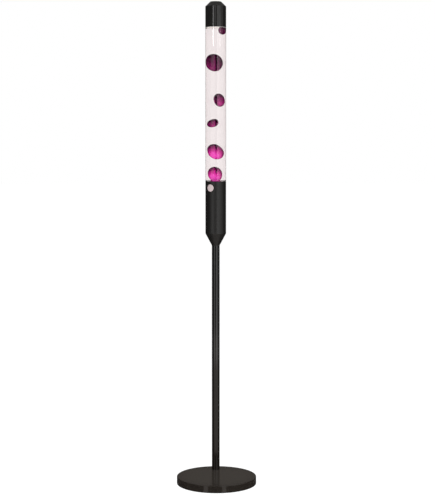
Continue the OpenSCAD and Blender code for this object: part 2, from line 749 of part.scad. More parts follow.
// spun shell with a chamfered top, open below
module top_cap() {
    top_r = cap_top_d / 2;
    slope = atan((body_r - top_r) / chamfer_h);
    low_turn = cap_wall * tan(slope / 2);
    high_turn = cap_wall * tan((90 - slope) / 2);
    color("#2a2827") on_pole() rotate_extrude($fn = 128)
        polygon([[body_r - cap_wall, z_cap], [body_r - 0.3, z_cap], [body_r, z_cap + 0.3],
            [body_r, z_top - chamfer_h], [top_r, z_top], [0, z_top], [0, z_top - cap_wall],
            [top_r - high_turn, z_top - cap_wall], [body_r - cap_wall, z_top - chamfer_h - low_turn]]);
}

// ring that stands on the glass shoulder and centres the cap
module cap_liner() {
    r = body_r - cap_wall - thread_gap;
    color("#e9e6df") ring(r, r - liner_wall, z_collar, z_cap + liner_h);
}

base_cover();
base_weight();
base_pad();
foot_socket();
foot_screws();
cord_bush();
pole();
pole_top_insert();
head_stud();
head_washer();
head_nut();
housing();
seat_ring();
seat_gasket();
holder_base();
holder_body();
screw_shell();
centre_contact();
terminals();
terminal_screws();
bulb_cap();
bulb_glass();
bulb_filament();
inner_lead();
lead_cores();
bottle();
liquid();
wax_pool();
coil();
crown_seal();
crown_cap();
wax_blob_1();
wax_blob_2();
wax_blob_3();
wax_blob_4();
wax_blob_5();
wax_blob_6();
top_cap();
cap_liner();
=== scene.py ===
"""Dresses the liquid motion floor lamp: black enamel, glass, liquid and wax, in a plain pale studio.

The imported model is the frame, in metres, with +Z up and -Y as the front. The lamp stands on z = 0. Its tall
parts share the pole's axis, which is behind the middle of the foot.
"""

import math

import bmesh
import bpy
from bpy.props import FloatProperty, FloatVectorProperty, PointerProperty
from mathutils import Euler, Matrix, Quaternion, Vector, noise


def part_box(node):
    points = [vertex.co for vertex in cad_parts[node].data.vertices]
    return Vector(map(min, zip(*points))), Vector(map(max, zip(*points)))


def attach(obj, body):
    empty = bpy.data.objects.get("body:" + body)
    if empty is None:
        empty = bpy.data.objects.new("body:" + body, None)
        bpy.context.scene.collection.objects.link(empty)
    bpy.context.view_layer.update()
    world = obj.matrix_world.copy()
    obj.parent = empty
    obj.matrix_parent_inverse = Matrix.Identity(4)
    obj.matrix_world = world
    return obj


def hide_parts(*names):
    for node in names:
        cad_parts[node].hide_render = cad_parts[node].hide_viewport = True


bl_info = {
    "name": "Motion Lamp",
    "version": (1, 0, 0),
    "blender": (4, 5, 0),
    "location": "3D View > Sidebar > Motion Lamp",
    "description": "Dresses a liquid motion floor lamp and builds its studio",
    "category": "Object",
}

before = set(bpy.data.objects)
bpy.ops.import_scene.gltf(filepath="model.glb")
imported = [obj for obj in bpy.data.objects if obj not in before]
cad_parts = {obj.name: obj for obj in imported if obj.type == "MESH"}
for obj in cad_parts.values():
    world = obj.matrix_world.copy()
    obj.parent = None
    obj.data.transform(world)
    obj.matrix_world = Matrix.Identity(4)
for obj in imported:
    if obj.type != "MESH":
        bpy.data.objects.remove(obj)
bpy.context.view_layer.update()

MM = 0.001


def axis_of(node):
    """The middle of a node's box in plan, as a vector on the floor."""
    low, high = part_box(node)
    return Vector(((low.x + high.x) / 2, (low.y + high.y) / 2, 0.0))


def radius_of(node):
    """Half of a round node's width."""
    low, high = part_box(node)
    return (high.x - low.x) / 2


def low_of(node):
    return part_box(node)[0].z


def high_of(node):
    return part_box(node)[1].z


FOOT_MIDDLE = Vector((0, 0, 0))
POLE_AXIS = axis_of("pole")
BODY_RADIUS = radius_of("housing")
RIM_HEIGHT = high_of("housing")

# The bottle's radii and levels, most of them read from the pieces that it touches
GLASS_WALL = 3.0 * MM
FILL_GAP = 0.25 * MM
BORE = radius_of("liquid") + FILL_GAP
FOOT_BORE = radius_of("wax_pool") + FILL_GAP
FOOT_RADIUS = FOOT_BORE + GLASS_WALL
NECK_RADIUS = 12.2 * MM
LIP_RADIUS = radius_of("crown_seal") + 0.6 * MM
FOOT_LEVEL = low_of("bottle")
FLOOR_LEVEL = low_of("wax_pool") - FILL_GAP
SHOULDER_LEVEL = RIM_HEIGHT + 0.5 * MM
COLLAR_LEVEL = low_of("cap_liner")
FILL_LEVEL = high_of("liquid")
LIP_LEVEL = high_of("bottle")
MENISCUS = 1.2 * MM

GLASS_IOR = 1.5
LIQUID_IOR = 1.36


def srgb(code):
    """Turns an sRGB hex code into linear red, green and blue."""
    parts = [int(code[i:i + 2], 16) / 255 for i in (1, 3, 5)]
    return tuple(v / 12.92 if v <= 0.04045 else ((v + 0.055) / 1.055) ** 2.4 for v in parts)


def rgba(colour, factor=1.0):
    return (*(min(1.0, v * factor) for v in colour[:3]), 1.0)


def colour_property(name, description, code):
    return FloatVectorProperty(name=name, description=description, default=srgb(code), subtype="COLOR",
                               min=0.0, max=1.0)


def length_property(name, description, metres):
    return FloatProperty(name=name, description=description, default=metres, subtype="DISTANCE",
                         unit="LENGTH", min=0.0)


def angle_property(name, description, degrees):
    return FloatProperty(name=name, description=description, default=math.radians(degrees), subtype="ANGLE",
                         unit="ROTATION")


def level_property(name, description, level):
    return FloatProperty(name=name, description=description, default=level, min=0.0)


# Settings


class EnamelSettings(bpy.types.PropertyGroup):
    """The black enamel on foot, pole, housing and cap"""

    foot: colour_property("Foot", "Enamel on the foot, a warm black", "#28231f")
    pole_low: colour_property("Pole, Low", "Enamel at the pole's lower end", "#15100d")
    pole_high: colour_property("Pole, High", "Enamel at the pole's upper end", "#111111")
    housing: colour_property("Housing", "Enamel on the housing", "#1a1918")
    cap: colour_property("Cap", "Enamel on the cap", "#1d1c1b")
    peel: length_property("Peel", "Width of one ripple in the sprayed coat", 3.5 * MM)
    patch: length_property("Patch", "Width of the duller and glossier patches", 45 * MM)


class GlassSettings(bpy.types.PropertyGroup):
    """The bottle's glass and the liquid in it"""

    glass: colour_property("Glass", "Tint of the glass", "#fdfefd")
    liquid: colour_property("Liquid", "Tint of the liquid, pink from the wax's dye", "#f7ecee")
    streak: length_property("Streak", "Width of the long streaks in the drawn glass", 9 * MM)


class WaxSettings(bpy.types.PropertyGroup):
    """The wax's colours, from painted shade to the painted light of the bulb below it"""

    shade: colour_property("Shade", "Wax that the bulb's light doesn't reach", "#2a0a20")
    dusk: colour_property("Dusk", "Wax that little of the light reaches", "#5a1642")
    body: colour_property("Body", "Wax between shade and light", "#941c6a")
    glow: colour_property("Glow", "Wax that the bulb shines into", "#d6309a")
    spark: colour_property("Spark", "The brightest wax, near the bulb", "#ff50cb")
    cloud: length_property("Cloud", "Width of the darker clouds in the wax", 9 * MM)


class DiscSettings(bpy.types.PropertyGroup):
    """The plain pale disc on the housing"""

    diameter: length_property("Diameter", "Diameter of the disc", 22.4 * MM)
    thickness: length_property("Thickness", "How far the disc's rim stands off the housing", 0.9 * MM)
    border: length_property("Border", "Width of the disc's raised border", 1.5 * MM)
    drop: length_property("Drop", "Depth of the disc's middle below the housing's rim", 21.6 * MM)
    turn: angle_property("Turn", "Angle from the front round to the disc", -33)
    field: colour_property("Field", "Colour of the disc", "#dac7c8")


class StudioSettings(bpy.types.PropertyGroup):
    """Camera, lamps, floor and the dark cards round the set"""

    camera_height: length_property("Camera Height", "Height of the camera", 1.0436)
    camera_distance: length_property("Camera Distance", "Distance of the camera from the foot's middle", 4.0)
    camera_side: length_property("Camera Side", "How far the camera stands to the left", 0.119)
    camera_pan: angle_property("Camera Pan", "How far the camera turns to the right", 1.748)
    camera_tilt: angle_property("Camera Tilt", "How far the camera looks down", 4.177)
    lens: FloatProperty(name="Lens", description="Focal length on a sensor 36 mm along its long side",
                        default=92.96, subtype="DISTANCE_CAMERA", unit="CAMERA")
    softbox: level_property("Softboxes", "Radiance of a softbox with a share of 1", 1.5)
    top: level_property("Top Lamp", "Strength of the lamp over the set", 6.0)
    foot_lamp: level_property("Foot Lamp", "Light that the narrow lamp throws on the foot", 2.7)
    fill: level_property("Fill", "Even light from all round", 0.42)
    front_card: colour_property("Front Card", "The dark card behind the camera", "#272727")
    side_card: colour_property("Side Cards", "The dark cards at the sides", "#343434")
    back_card: colour_property("Back Card", "The grey card behind the set", "#5c5855")
    top_card: colour_property("Top Card", "The grey card over the set", "#808080")
    floor_card: colour_property("Floor Card", "The dark card on the floor", "#3f3d3b")
    floor_stripe: colour_property("Floor Stripes", "The two pale stripes by the foot", "#f6efe9")
    floor_patch: colour_property("Floor Patch", "The pale part of the floor in front of them", "#dfd7d0")
    floor: colour_property("Floor", "Colour of the floor", "#ececec")


class LampSettings(bpy.types.PropertyGroup):
    """Every setting of the lamp's dressing"""

    enamel: PointerProperty(type=EnamelSettings)
    glass: PointerProperty(type=GlassSettings)
    wax: PointerProperty(type=WaxSettings)
    disc: PointerProperty(type=DiscSettings)
    studio: PointerProperty(type=StudioSettings)


# Materials


def add_node(tree, kind, inputs=None, stops=(), **settings):
    """Adds a node, sets its properties and colour stops, and fills its inputs.

    An input gets a value, or a link from another node's output. The first two stops are the ones that every
    ramp has, so a ramp's last stop is named second.
    """
    node = tree.nodes.new(kind)
    for name, value in settings.items():
        setattr(node, name, value)
    for key, value in (inputs or {}).items():
        if isinstance(value, bpy.types.NodeSocket):
            tree.links.new(value, node.inputs[key])
        else:
            node.inputs[key].default_value = value
    for i, (place, colour) in enumerate(stops):
        stop = node.color_ramp.elements[i] if i < 2 else node.color_ramp.elements.new(place)
        stop.position = place
        stop.color = rgba(colour)
    return node


def new_material(name):
    """An empty material and its node tree."""
    material = bpy.data.materials.new(name)
    material.use_nodes = True
    material.node_tree.nodes.clear()
    return material, material.node_tree


def baked_enamel(name, settings, low, high, span, roughness, depth, ior):
    """Stove enamel, sprayed on sheet steel and baked: black with a faint ripple and duller patches.

    Its colour goes from low to high over the heights in span, and depth is how deep the ripple is.
    """
    spread = 0.02
    material, tree = new_material(name)
    place = add_node(tree, "ShaderNodeTexCoord")
    split = add_node(tree, "ShaderNodeSeparateXYZ", {"Vector": place.outputs["Object"]})
    height = add_node(tree, "ShaderNodeMapRange", {
        "Value": split.outputs["Z"], "From Min": span[0], "From Max": span[1]})
    tone = add_node(tree, "ShaderNodeValToRGB", {"Fac": height.outputs["Result"]},
                    stops=[(0.0, low), (1.0, high)])
    patch = add_node(tree, "ShaderNodeTexNoise", {
        "Vector": place.outputs["Object"], "Scale": 1 / settings.patch, "Detail": 3.0})
    gloss = add_node(tree, "ShaderNodeMapRange", {
        "Value": patch.outputs["Fac"], "From Min": 0.3, "From Max": 0.7,
        "To Min": roughness - spread, "To Max": roughness + spread})
    peel = add_node(tree, "ShaderNodeTexNoise", {
        "Vector": place.outputs["Object"], "Scale": 1 / settings.peel, "Detail": 1.0})
    ripple = add_node(tree, "ShaderNodeBump", {"Height": peel.outputs["Fac"], "Distance": depth})
    shader = add_node(tree, "ShaderNodeBsdfPrincipled", {
        "Base Color": tone.outputs["Color"], "Roughness": gloss.outputs["Result"],
        "Normal": ripple.outputs["Normal"], "IOR": ior})
    add_node(tree, "ShaderNodeOutputMaterial", {"Surface": shader.outputs["BSDF"]})
    return material


def turned_metal(name, colour, roughness, groove, depth):
    """Metal turned, drawn or spun on a lathe: fine rings round the axis that spread its highlights.

    A ring is math.tau times groove wide, and depth is how deep it is.
    """
    blotch, dull = 12 * MM, 0.86
    polished, worn = 0.05, 0.08
    material, tree = new_material(name)
    place = add_node(tree, "ShaderNodeTexCoord")
    rings = add_node(tree, "ShaderNodeTexWave", {
        "Vector": place.outputs["Object"], "Scale": 1 / (20 * groove), "Distortion": 0.4, "Detail": 1.0},
        wave_type="BANDS", bands_direction="Z")
    cloud = add_node(tree, "ShaderNodeTexNoise", {
        "Vector": place.outputs["Object"], "Scale": 1 / blotch, "Detail": 3.0})
    tone = add_node(tree, "ShaderNodeValToRGB", {"Fac": cloud.outputs["Fac"]},
                    stops=[(0.3, rgba(colour, dull)), (0.7, colour)])
    gloss = add_node(tree, "ShaderNodeMapRange", {
        "Value": cloud.outputs["Fac"], "From Min": 0.3, "From Max": 0.7,
        "To Min": roughness - polished, "To Max": roughness + worn})
    marks = add_node(tree, "ShaderNodeBump", {"Height": rings.outputs["Fac"], "Distance": depth})
    shader = add_node(tree, "ShaderNodeBsdfPrincipled", {
        "Base Color": tone.outputs["Color"], "Metallic": 1.0, "Roughness": gloss.outputs["Result"],
        "Normal": marks.outputs["Normal"]})
    add_node(tree, "ShaderNodeOutputMaterial", {"Surface": shader.outputs["BSDF"]})
    return material


def grained(name, colour, roughness, grain, depth, contrast=0.85, metallic=0.0, ior=1.5, glow=0.0):
    """A surface with an even grain, as casting, moulding, foaming or plating leaves it.

    grain is the width of one grain, depth how deep it is, and contrast the share of the colour in its darks.
    """
    spread = 0.05
    material, tree = new_material(name)
    place = add_node(tree, "ShaderNodeTexCoord")
    speck = add_node(tree, "ShaderNodeTexNoise", {
        "Vector": place.outputs["Object"], "Scale": 1 / grain, "Detail": 3.0})
    tone = add_node(tree, "ShaderNodeValToRGB", {"Fac": speck.outputs["Fac"]},
                    stops=[(0.3, rgba(colour, contrast)), (0.7, colour)])
    gloss = add_node(tree, "ShaderNodeMapRange", {
        "Value": speck.outputs["Fac"], "From Min": 0.3, "From Max": 0.7,
        "To Min": roughness - spread, "To Max": roughness + spread})
    relief = add_node(tree, "ShaderNodeBump", {"Height": speck.outputs["Fac"], "Distance": depth})
    # glow makes a painted glow: the colour is also emitted, though the surface is no lamp
    shader = add_node(tree, "ShaderNodeBsdfPrincipled", {
        "Base Color": tone.outputs["Color"], "Metallic": metallic, "Roughness": gloss.outputs["Result"],
        "IOR": ior, "Emission Color": rgba(colour), "Emission Strength": glow,
        "Normal": relief.outputs["Normal"]})
    add_node(tree, "ShaderNodeOutputMaterial", {"Surface": shader.outputs["BSDF"]})
    return material


def drawn_glass(name, settings, ior):
    """Soda-lime glass drawn as a tube: clear and smooth, with faint streaks along its length."""
    stretch = 0.06
    relief = 0.008 * MM
    material, tree = new_material(name)
    place = add_node(tree, "ShaderNodeTexCoord")
    along = add_node(tree, "ShaderNodeMapping", {"Vector": place.outputs["Object"], "Scale": (1, 1, stretch)})
    streak = add_node(tree, "ShaderNodeTexNoise", {
        "Vector": along.outputs["Vector"], "Scale": 1 / settings.streak, "Detail": 1.0})
    wave = add_node(tree, "ShaderNodeBump", {"Height": streak.outputs["Fac"], "Distance": relief})
    shader = add_node(tree, "ShaderNodeBsdfPrincipled", {
        "Base Color": rgba(settings.glass), "Roughness": 0.0, "IOR": ior, "Transmission Weight": 1.0,
        "Normal": wave.outputs["Normal"]})
    add_node(tree, "ShaderNodeOutputMaterial", {"Surface": shader.outputs["BSDF"]})
    return material


def clear_brine(name, settings, ior):
    """Water with salts: clear, with a breath of pink from the wax's dye that clouds it very slightly."""
    swirl = 60 * MM
    thin = 0.985
    material, tree = new_material(name)
    place = add_node(tree, "ShaderNodeTexCoord")
    cloud = add_node(tree, "ShaderNodeTexNoise", {
        "Vector": place.outputs["Object"], "Scale": 1 / swirl, "Detail": 2.0})
    tone = add_node(tree, "ShaderNodeValToRGB", {"Fac": cloud.outputs["Fac"]},
                    stops=[(0.3, rgba(settings.liquid, thin)), (0.7, settings.liquid)])
    shader = add_node(tree, "ShaderNodeBsdfPrincipled", {
        "Base Color": tone.outputs["Color"], "Roughness": 0.0, "IOR": ior, "Transmission Weight": 1.0})
    add_node(tree, "ShaderNodeOutputMaterial", {"Surface": shader.outputs["BSDF"]})
    return material


# How fast the bulb's painted light fades in the wax across, deep and high, the distances that it fades
# between, and how much the clouds in the wax take off it
WAX_WEIGHTS = (0.75, 1.1, 1.15)
WAX_FADE_START, WAX_FADE_END = 0.06, 0.9
WAX_CLOUD_LOW, WAX_CLOUD_HIGH = -0.39, -0.31

# The painted dark line down the wax, with painted light on its flanks: how far its middle is right of the
# column's, how far out it is drawn, the painted light that it leaves at shares of that distance, and the
# share of the bulb's painted light that shines through it
LINE_OFFSET = 1.0 * MM
LINE_SPAN = 16 * MM
LINE_LIGHT = ((0.09, 0.0), (1.0, 0.35), (0.2, 0.52), (0.5, 0.47))
LINE_SHINE = 0.4


def wax_with_painted_light(name, settings, reach, spot, aside):
    """Dyed paraffin wax in liquid: dull, with the bulb's light painted in as colour and glow, so it goes from
    bright pink to plum.

    reach is how bright the painted light gets, and spot is its brightest place, as shares of the wax's width,
    depth (0 at the front and the back, 0.5 between them) and height. A painted dark line of shade, with
    painted light on its flanks, runs down the middle of the wax where the column of liquid as a lens would
    throw one, and aside is how far the wax's middle is to the right of the column's.
    """
    material, tree = new_material(name)
    place = add_node(tree, "ShaderNodeTexCoord")
    fade = painted_bulb_light(tree, place.outputs["Generated"], reach, spot)
    line = painted_lens_line(tree, place.outputs["Object"], aside)
    cloud = add_node(tree, "ShaderNodeTexNoise", {
        "Vector": place.outputs["Object"], "Scale": 1 / settings.cloud, "Detail": 2.0})
    shift = add_node(tree, "ShaderNodeMapRange", {
        "Value": cloud.outputs["Fac"], "From Min": 0.3, "From Max": 0.7,
        "To Min": WAX_CLOUD_LOW, "To Max": WAX_CLOUD_HIGH})
    shine = add_node(tree, "ShaderNodeMath", {0: fade, 1: LINE_SHINE}, operation="MULTIPLY")
    lined = add_node(tree, "ShaderNodeMath", {0: line, 1: shine.outputs["Value"]}, operation="MAXIMUM")
    dimmed = add_node(tree, "ShaderNodeMath", {0: fade, 1: shift.outputs["Result"]}, operation="ADD")
    light = add_node(tree, "ShaderNodeMath", {
        0: dimmed.outputs["Value"], 1: lined.outputs["Value"]}, operation="ADD")
    colour = add_node(tree, "ShaderNodeValToRGB", {"Fac": light.outputs["Value"]},
                      stops=[(0.0, settings.shade), (1.0, settings.spark), (0.25, settings.dusk),
                             (0.5, settings.body), (0.75, settings.glow)])
    relief = add_node(tree, "ShaderNodeBump", {"Height": cloud.outputs["Fac"], "Distance": 0.2 * MM})
    # painted glow: the wax's colour is also emitted, in step with its painted light, though the wax is no
    # lamp
    shader = add_node(tree, "ShaderNodeBsdfPrincipled", {
        "Base Color": colour.outputs["Color"], "Emission Color": colour.outputs["Color"],
        "Emission Strength": 0.3 * reach, "Roughness": 0.5, "Specular IOR Level": 0.0,
        "Normal": relief.outputs["Normal"]})
    add_node(tree, "ShaderNodeOutputMaterial", {"Surface": shader.outputs["BSDF"]})
    return material


def painted_bulb_light(tree, place, reach, spot):
    """The bulb's painted light in a piece of wax: reach at its brightest spot, and none far from it."""
    split = add_node(tree, "ShaderNodeSeparateXYZ", {"Vector": place})
    middle = add_node(tree, "ShaderNodeMath", {0: split.outputs["Y"], 1: 0.5}, operation="SUBTRACT")
    off = add_node(tree, "ShaderNodeMath", {0: middle.outputs["Value"]}, operation="ABSOLUTE")
    depth = add_node(tree, "ShaderNodeMath", {0: 0.5, 1: off.outputs["Value"]}, operation="SUBTRACT")
    folded = add_node(tree, "ShaderNodeCombineXYZ", {
        "X": split.outputs["X"], "Y": depth.outputs["Value"], "Z": split.outputs["Z"]})
    apart = add_node(tree, "ShaderNodeVectorMath", {
        0: folded.outputs["Vector"], 1: spot}, operation="SUBTRACT")
    weighed = add_node(tree, "ShaderNodeVectorMath", {
        0: apart.outputs["Vector"], 1: WAX_WEIGHTS}, operation="MULTIPLY")
    far = add_node(tree, "ShaderNodeVectorMath", {0: weighed.outputs["Vector"]}, operation="LENGTH")
    fade = add_node(tree, "ShaderNodeMapRange", {
        "Value": far.outputs["Value"], "From Min": WAX_FADE_START, "From Max": WAX_FADE_END,
        "To Min": reach, "To Max": 0.0})
    return fade.outputs["Result"]


def painted_lens_line(tree, place, aside):
    """The painted light that the column's lens would leave across a piece of wax, with none along its painted
    dark line.
    """
    spread = add_node(tree, "ShaderNodeSeparateXYZ", {"Vector": place})
    across = add_node(tree, "ShaderNodeMath", {
        0: spread.outputs["X"], 1: aside - LINE_OFFSET}, operation="ADD")
    away = add_node(tree, "ShaderNodeMath", {0: across.outputs["Value"]}, operation="ABSOLUTE")
    share = add_node(tree, "ShaderNodeMath", {0: away.outputs["Value"], 1: LINE_SPAN}, operation="DIVIDE")
    line = add_node(tree, "ShaderNodeValToRGB", {"Fac": share.outputs["Value"]},
                    stops=[(at, (light, light, light)) for at, light in LINE_LIGHT])
    return line.outputs["Color"]


def silvered_glass(name, low, high):
    """The bulb: a mirror inside its sides, and above them a frosted face that the filament lights.

    low and high are its ends, and the mirror fades out between two shares of its height.
    """
    mirror_end, face_start = 0.76, 0.8
    grain = 0.6 * MM
    material, tree = new_material(name)
    place = add_node(tree, "ShaderNodeTexCoord")
    split = add_node(tree, "ShaderNodeSeparateXYZ", {"Vector": place.outputs["Object"]})
    face = add_node(tree, "ShaderNodeMapRange", {
        "Value": split.outputs["Z"], "From Min": low + (high - low) * mirror_end,
        "From Max": low + (high - low) * face_start})
    silver = add_node(tree, "ShaderNodeMapRange", {
        "Value": face.outputs["Result"], "To Min": 1.0, "To Max": 0.0})
    tone = add_node(tree, "ShaderNodeValToRGB", {"Fac": face.outputs["Result"]},
                    stops=[(0.0, srgb("#d4d6d6")), (1.0, srgb("#fff1d8"))])
    glow = add_node(tree, "ShaderNodeValToRGB", {"Fac": face.outputs["Result"]},
                    stops=[(0.0, (0, 0, 0)), (1.0, srgb("#ffe2b4"))])
    frost = add_node(tree, "ShaderNodeTexNoise", {
        "Vector": place.outputs["Object"], "Scale": 1 / grain, "Detail": 2.0})
    relief = add_node(tree, "ShaderNodeBump", {"Height": frost.outputs["Fac"], "Distance": 0.03 * MM})
    shader = add_node(tree, "ShaderNodeBsdfPrincipled", {
        "Base Color": tone.outputs["Color"], "Metallic": silver.outputs["Result"], "Roughness": 0.25,
        "IOR": GLASS_IOR, "Emission Color": glow.outputs["Color"], "Emission Strength": 1.6,
        "Normal": relief.outputs["Normal"]})
    add_node(tree, "ShaderNodeOutputMaterial", {"Surface": shader.outputs["BSDF"]})
    return material


def give(material, *nodes):
    """Puts one material on each of these CAD nodes."""
    for name in nodes:
        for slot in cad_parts[name].material_slots:
            slot.material = material


# Shapes


def new_piece(name, shape, *materials, location=(0, 0, 0)):
    """Makes an object with smooth faces from a bmesh, which it frees."""
    mesh = bpy.data.meshes.new(name)
    shape.to_mesh(mesh)
    shape.free()
    mesh.shade_smooth()
    mesh.set_sharp_from_angle(angle=math.radians(35))
    for material in materials:
        mesh.materials.append(material)
    piece = bpy.data.objects.new(name, mesh)
    piece.location = location
    bpy.context.scene.collection.objects.link(piece)
    return piece


def lathe(*runs, sides=160):
    """Turns runs of (radius, height) points, end to end and closed on the axis, into a bmesh.

    The faces of each run get their own material slot. A long straight gets a ring near each of its ends, so
    that smooth shading doesn't bend it.
    """
    long = 8 * MM
    turns = [math.tau * i / sides for i in range(sides)]
    outline = [(runs[0][0], 0)]
    for slot, run in enumerate(runs):
        for start, end in zip(run, run[1:]):
            start, end = Vector(start), Vector(end)
            length = (end - start).length
            if length > long:
                outline += [(start.lerp(end, MM / length), slot), (end.lerp(start, MM / length), slot)]
            outline.append((end, slot))
    shape = bmesh.new()
    rings = []
    for (radius, height), slot in outline:
        if radius == 0:
            rings.append([shape.verts.new((0, 0, height))])
        else:
            rings.append([shape.verts.new((radius * math.cos(turn), radius * math.sin(turn), height))
                          for turn in turns])
    for below, above, (point, slot) in zip(rings, rings[1:], outline[1:]):
        for i in range(sides):
            j = (i + 1) % sides
            if len(below) == 1:
                face = shape.faces.new((below[0], above[j], above[i]))
            elif len(above) == 1:
                face = shape.faces.new((below[i], below[j], above[0]))
            else:
                face = shape.faces.new((below[i], below[j], above[j], above[i]))
            face.material_index = slot
    bmesh.ops.recalc_face_normals(shape, faces=shape.faces)
    return shape


def arc(x, y, radius, first, last, steps=8):
    """Points on an arc between two angles in degrees."""
    turns = [math.radians(first + (last - first) * i / steps) for i in range(steps + 1)]
    return [(x + radius * math.cos(t), y + radius * math.sin(t)) for t in turns]


def bore_line(grow):
    """The bottle's inner wall from above its foot to above its upper shoulder, moved outwards by grow."""
    run = 2.5 * MM
    steps = 8
    line = []
    for level, first, last in ((SHOULDER_LEVEL, FOOT_BORE, BORE), (COLLAR_LEVEL, BORE, FOOT_BORE)):
        for i in range(steps + 1):
            t = i / steps
            line.append((first + (last - first) * t * t * (3 - 2 * t) + grow, level + run * (2 * t - 1)))
    return line


def wax_shape(width, height, taper, lean, bulges, seed):
    """An egg with soft bulges, leaning to one side.

    Each bulge is a direction, how far it stands out in metres, and how wide it is.
    """
    uneven, waves = 0.012 * width, 1.3
    shape = bmesh.new()
    bmesh.ops.create_icosphere(shape, subdivisions=6, radius=1.0)
    turn = Euler((0, lean, 0)).to_matrix()
    for vertex in shape.verts:
        way = vertex.co.normalized()
        point = Vector((width / 2 * way.x * (1 + taper * way.z), width / 2 * way.y * (1 + taper * way.z),
                        height / 2 * way.z))
        push = uneven * noise.noise(way * waves + Vector((seed, 0, 0)))
        for direction, amount, breadth in bulges:
            push += amount * math.exp(-(way.angle(Vector(direction)) / breadth) ** 2)
        vertex.co = turn @ (point + way * push)
    return shape


# Operators


class LAMP_OT_camera(bpy.types.Operator):
    """Place the camera where the photograph was taken"""

    bl_idname = "motion_lamp.camera"
    bl_label = "Camera"

    def execute(self, context):
        studio = context.scene.motion_lamp.studio
        data = bpy.data.cameras.new("camera")
        data.lens = studio.lens
        data.sensor_width = 36
        camera = bpy.data.objects.new("camera", data)
        camera.location = (-studio.camera_side, -studio.camera_distance, studio.camera_height)
        camera.rotation_euler = (math.radians(90) - studio.camera_tilt, 0, -studio.camera_pan)
        context.scene.collection.objects.link(camera)
        context.scene.camera = camera
        return {"FINISHED"}


class LAMP_OT_enamel(bpy.types.Operator):
    """Enamel the foot, the pole, the housing and the cap"""

    bl_idname = "motion_lamp.enamel"
    bl_label = "Black Enamel"

    def execute(self, context):
        enamel = context.scene.motion_lamp.enamel
        for node, low, high, roughness, depth, ior in (
                ("base_cover", enamel.foot, enamel.foot, 0.13, 0.002 * MM, 1.42),
                ("pole", enamel.pole_low, enamel.pole_high, 0.12, 0.002 * MM, 1.48),
                ("housing", enamel.housing, enamel.housing, 0.37, 0.008 * MM, 1.42),
                ("top_cap", enamel.cap, enamel.cap, 0.16, 0.003 * MM, 1.42)):
            span = (low_of(node), high_of(node))
            give(baked_enamel("baked_enamel_" + node, enamel, low, high, span, roughness, depth, ior), node)
        return {"FINISHED"}


class LAMP_OT_foot_inside(bpy.types.Operator):
    """Finish the weight, the pad, the socket, its screws and the cord bush"""

    bl_idname = "motion_lamp.foot_inside"
    bl_label = "Inside of the Foot"

    def execute(self, context):
        give(grained("sand_cast_iron", srgb("#4d4b49"), 0.72, 1.6 * MM, 0.25 * MM, 0.6, metallic=0.6),
             "base_weight")
        give(grained("cell_foam", srgb("#1b1b1b"), 0.95, 0.9 * MM, 0.3 * MM, 0.5), "base_pad")
        give(turned_metal("turned_steel", srgb("#a6a7a9"), 0.32, 0.25 * MM, 0.01 * MM),
             "foot_socket", "pole_top_insert")
        give(grained("bright_zinc", srgb("#c3c7c9"), 0.33, 2.5 * MM, 0.01 * MM, 0.8, metallic=1.0),
             "foot_screws", "head_washer", "head_nut", "terminal_screws")
        give(grained("moulded_rubber", srgb("#161616"), 0.62, 0.8 * MM, 0.03 * MM, 0.7), "cord_bush")
        return {"FINISHED"}


class LAMP_OT_seat(bpy.types.Operator):
    """Finish the seat ring and the gasket that the bottle stands on, and the cap's liner"""

    bl_idname = "motion_lamp.seat"
    bl_label = "Bottle Seat and Liner"

    def execute(self, context):
        give(turned_metal("spun_aluminium", srgb("#c9cbcd"), 0.34, 0.35 * MM, 0.015 * MM), "seat_ring")
        give(grained("cast_silicone", srgb("#a8332c"), 0.48, 1.2 * MM, 0.02 * MM, 0.85, ior=1.41),
             "seat_gasket")
        # milky nylon, with a painted glow in its own colour for the light of the column that would show in it
        give(grained("moulded_nylon", srgb("#f0eee9"), 0.45, 1.0 * MM, 0.02 * MM, 0.95, ior=1.53, glow=0.8),
             "cap_liner")
        return {"FINISHED"}


class LAMP_OT_holder(bpy.types.Operator):
    """Finish the lampholder, its contacts and the lead"""

    bl_idname = "motion_lamp.holder"
    bl_label = "Lampholder and Lead"

    def execute(self, context):
        give(grained("pressed_thermoset", srgb("#e6dfcf"), 0.42, 0.7 * MM, 0.01 * MM, 0.93),
             "holder_base", "holder_body")
        give(turned_metal("rolled_brass", srgb("#c9a455"), 0.28, 0.3 * MM, 0.008 * MM),
             "head_stud", "screw_shell", "centre_contact", "terminals")
        give(grained("extruded_pvc", srgb("#e9e7e1"), 0.5, 1.5 * MM, 0.02 * MM, 0.94), "inner_lead")
        give(grained("core_sheath", srgb("#5d3f28"), 0.45, 1.0 * MM, 0.01 * MM, 0.9), "lead_cores")
        return {"FINISHED"}


class LAMP_OT_bulb(bpy.types.Operator):
    """Finish the reflector bulb: silvered sides and a frosted, lit face"""

    bl_idname = "motion_lamp.bulb"
    bl_label = "Reflector Bulb"

    def execute(self, context):
        give(silvered_glass("silvered_glass", low_of("bulb_glass"), high_of("bulb_glass")), "bulb_glass")
        give(turned_metal("plated_cap", srgb("#bdb9ad"), 0.3, 0.8 * MM, 0.05 * MM), "bulb_cap")
        give(grained("drawn_wire", srgb("#8d8c88"), 0.4, 0.8 * MM, 0.01 * MM, 0.8, metallic=0.9),
             "bulb_filament")
        return {"FINISHED"}


